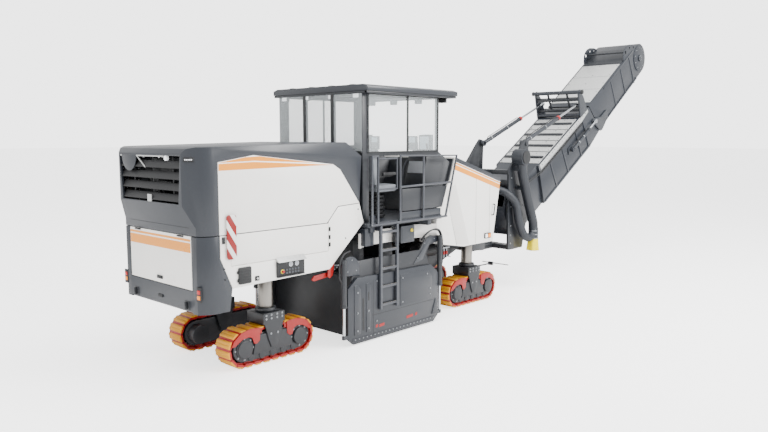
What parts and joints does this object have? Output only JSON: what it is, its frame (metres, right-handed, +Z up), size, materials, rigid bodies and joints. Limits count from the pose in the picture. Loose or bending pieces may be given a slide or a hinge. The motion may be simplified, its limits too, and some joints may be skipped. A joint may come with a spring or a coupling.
{
  "type": "cold planer milling machine",
  "caption": "Tracked road milling machine with a steered track at each corner, a milling drum under the frame, an operator platform and a folding discharge conveyor.",
  "frame": {"origin": "on the ground under the middle of the machine's overall box", "axes": "+X forward towards the conveyor's head, +Y to the machine's left, +Z up"},
  "size_m": [14.334, 2.3206, 5.662],
  "materials": {
    "slate_paint": "semi-gloss",
    "white_paint": "semi-gloss",
    "dark_frame": "satin",
    "black_plastic": "matte",
    "chrome_rod": "polished",
    "track_pads": "matte",
    "clear_glass": "clear",
    "tool_steel": "rough",
    "seat_vinyl": "matte"
  },
  "bodies": {
    "chassis": {"main_frame": "dark_frame", "engine_block": "dark_frame", "radiator": "black_plastic", "rear_frame": "slate_paint", "side_panel_right": "white_paint", "side_panel_left": "white_paint", "front_body": "white_paint", "operator_platform": "dark_frame", "dashboard": "dark_frame", "seat_right": "seat_vinyl", "seat_left": "seat_vinyl", "railing_right": "slate_paint", "railing_left": "slate_paint", "ladder_right": "slate_paint", "ladder_left": "slate_paint", "canopy_frame": "dark_frame", "canopy_roof": "slate_paint", "rear_window": "clear_glass", "right_window": "clear_glass", "left_window": "clear_glass", "drum_housing": "dark_frame", "scraper_blade": "dark_frame", "primary_conveyor": "dark_frame", "slew_bracket": "dark_frame"},
    "hood": {"hood_shell": "slate_paint", "hood_side_right": "white_paint", "hood_side_left": "white_paint", "rear_grille": "black_plastic"},
    "rear_flap": {"rear_flap": "white_paint"},
    "right_door": {"service_door_right": "white_paint"},
    "left_door": {"service_door_left": "white_paint"},
    "fan": {"cooling_fan": "black_plastic"},
    "drum": {"milling_drum": "tool_steel"},
    "right_side_plate": {"side_plate_right": "slate_paint"},
    "left_side_plate": {"side_plate_left": "slate_paint"},
    "slew": {"slew_frame": "dark_frame", "dust_duct": "black_plastic"},
    "lower_conveyor": {"conveyor_lower": "slate_paint", "goalpost": "slate_paint"},
    "upper_conveyor": {"conveyor_upper": "slate_paint"},
    "front_right_track": {"track_front_right": "track_pads", "bogie_front_right": "dark_frame"},
    "rear_right_track": {"track_rear_right": "track_pads", "bogie_rear_right": "dark_frame"},
    "right_lift_barrel": {"lift_barrel_right": "slate_paint"},
    "right_lift_rod": {"lift_rod_right": "chrome_rod"},
    "right_fold_barrel": {"fold_barrel_right": "slate_paint"},
    "right_fold_rod": {"fold_rod_right": "chrome_rod"},
    "front_left_track": {"track_front_left": "track_pads", "bogie_front_left": "dark_frame"},
    "rear_left_track": {"track_rear_left": "track_pads", "bogie_rear_left": "dark_frame"},
    "left_lift_barrel": {"lift_barrel_left": "slate_paint"},
    "left_lift_rod": {"lift_rod_left": "chrome_rod"},
    "left_fold_barrel": {"fold_barrel_left": "slate_paint"},
    "left_fold_rod": {"fold_rod_left": "chrome_rod"}
  },
  "joints": [
    {"name": "front_right_steering", "type": "hinge", "parent": "chassis", "child": "front_right_track", "pos_m": [-0.897, -0.61, 0], "axis": [0, 0, 1], "range_deg": [-25, 25]},
    {"name": "front_left_steering", "type": "hinge", "parent": "chassis", "child": "front_left_track", "pos_m": [-0.897, 0.61, 0], "axis": [0, 0, 1], "range_deg": [-25, 25]},
    {"name": "rear_right_steering", "type": "hinge", "parent": "chassis", "child": "rear_right_track", "pos_m": [-5.747, -0.61, 0], "axis": [0, 0, 1], "range_deg": [-25, 25]},
    {"name": "rear_left_steering", "type": "hinge", "parent": "chassis", "child": "rear_left_track", "pos_m": [-5.747, 0.61, 0], "axis": [0, 0, 1], "range_deg": [-25, 25]},
    {"name": "hood_hinge", "type": "hinge", "parent": "chassis", "child": "hood", "pos_m": [-7.047, 0, 1.945], "axis": [0, -1, 0], "range_deg": [0, 50]},
    {"name": "rear_flap_hinge", "type": "hinge", "parent": "chassis", "child": "rear_flap", "pos_m": [-7.062, 0, 1.915], "axis": [0, 1, 0], "range_deg": [0, 90]},
    {"name": "right_door_hinge", "type": "hinge", "parent": "chassis", "child": "right_door", "pos_m": [-4.897, -1.042, 1.7325], "axis": [0, 0, 1], "range_deg": [0, 110]},
    {"name": "left_door_hinge", "type": "hinge", "parent": "chassis", "child": "left_door", "pos_m": [-4.897, 1.042, 1.7325], "axis": [0, 0, -1], "range_deg": [0, 110]},
    {"name": "fan_spin", "type": "hinge", "parent": "chassis", "child": "fan", "pos_m": [-7.007, 0, 2.56], "axis": [1, 0, 0], "continuous": true},
    {"name": "drum_spin", "type": "hinge", "parent": "chassis", "child": "drum", "pos_m": [-3.497, 0, 0.58], "axis": [0, 1, 0], "continuous": true},
    {"name": "right_side_plate_lift", "type": "slide", "parent": "chassis", "child": "right_side_plate", "axis": [0, 0, 1], "range_m": [0, 0.4]},
    {"name": "left_side_plate_lift", "type": "slide", "parent": "chassis", "child": "left_side_plate", "axis": [0, 0, 1], "range_m": [0, 0.4]},
    {"name": "conveyor_slew", "type": "hinge", "parent": "chassis", "child": "slew", "pos_m": [0.303, 0, 1.6], "axis": [0, 0, 1], "range_deg": [-60, 60]},
    {"name": "conveyor_lift", "type": "hinge", "parent": "slew", "child": "lower_conveyor", "pos_m": [1.003, 0, 1.55], "axis": [0, -1, 0], "range_deg": [-10, 6]},
    {"name": "conveyor_fold", "type": "hinge", "parent": "lower_conveyor", "child": "upper_conveyor", "pos_m": [4.65475, 0, 3.39421], "axis": [0, 1, 0], "range_deg": [0, 70]},
    {"name": "right_lift_barrel_pin", "type": "hinge", "parent": "slew", "child": "right_lift_barrel", "pos_m": [1.203, -0.5, 3.06], "axis": [0, -1, 0], "range_deg": [-12.41, 7.47]},
    {"name": "right_lift_rod_slide", "type": "slide", "parent": "right_lift_barrel", "child": "right_lift_rod", "axis": [0.9346, 0, 0.3558], "range_m": [-0.1451, 0.2412]},
    {"name": "right_fold_barrel_pin", "type": "hinge", "parent": "lower_conveyor", "child": "right_fold_barrel", "pos_m": [3.16302, -0.645, 2.90621], "axis": [0, -1, 0], "range_deg": [-0.05, 2.65]},
    {"name": "right_fold_rod_slide", "type": "slide", "parent": "right_fold_barrel", "child": "right_fold_rod", "axis": [0.8495, 0, 0.5275], "range_m": [-0.001, 0.523]},
    {"name": "left_lift_barrel_pin", "type": "hinge", "parent": "slew", "child": "left_lift_barrel", "pos_m": [1.203, 0.5, 3.06], "axis": [0, -1, 0], "range_deg": [-12.41, 7.47]},
    {"name": "left_lift_rod_slide", "type": "slide", "parent": "left_lift_barrel", "child": "left_lift_rod", "axis": [0.9346, 0, 0.3558], "range_m": [-0.1451, 0.2412]},
    {"name": "left_fold_barrel_pin", "type": "hinge", "parent": "lower_conveyor", "child": "left_fold_barrel", "pos_m": [3.16302, 0.645, 2.90621], "axis": [0, -1, 0], "range_deg": [-0.05, 2.65]},
    {"name": "left_fold_rod_slide", "type": "slide", "parent": "left_fold_barrel", "child": "left_fold_rod", "axis": [0.8495, 0, 0.5275], "range_m": [-0.001, 0.523]}
  ],
  "couplings": [
    {"joint": "front_left_steering", "follows": "front_right_steering", "ratio": 1},
    {"joint": "rear_left_steering", "follows": "rear_right_steering", "ratio": 1},
    {"joint": "right_lift_barrel_pin", "follows": "conveyor_lift", "ratio": 1.2365},
    {"joint": "right_lift_rod_slide", "follows": "conveyor_lift", "m_per_rad": -1.376},
    {"joint": "right_fold_barrel_pin", "follows": "conveyor_fold", "ratio": 0.03716},
    {"joint": "right_fold_rod_slide", "follows": "conveyor_fold", "m_per_rad": 0.42725},
    {"joint": "left_lift_barrel_pin", "follows": "conveyor_lift", "ratio": 1.2365},
    {"joint": "left_lift_rod_slide", "follows": "conveyor_lift", "m_per_rad": -1.376},
    {"joint": "left_fold_barrel_pin", "follows": "conveyor_fold", "ratio": 0.03716},
    {"joint": "left_fold_rod_slide", "follows": "conveyor_fold", "m_per_rad": 0.42725}
  ]
}
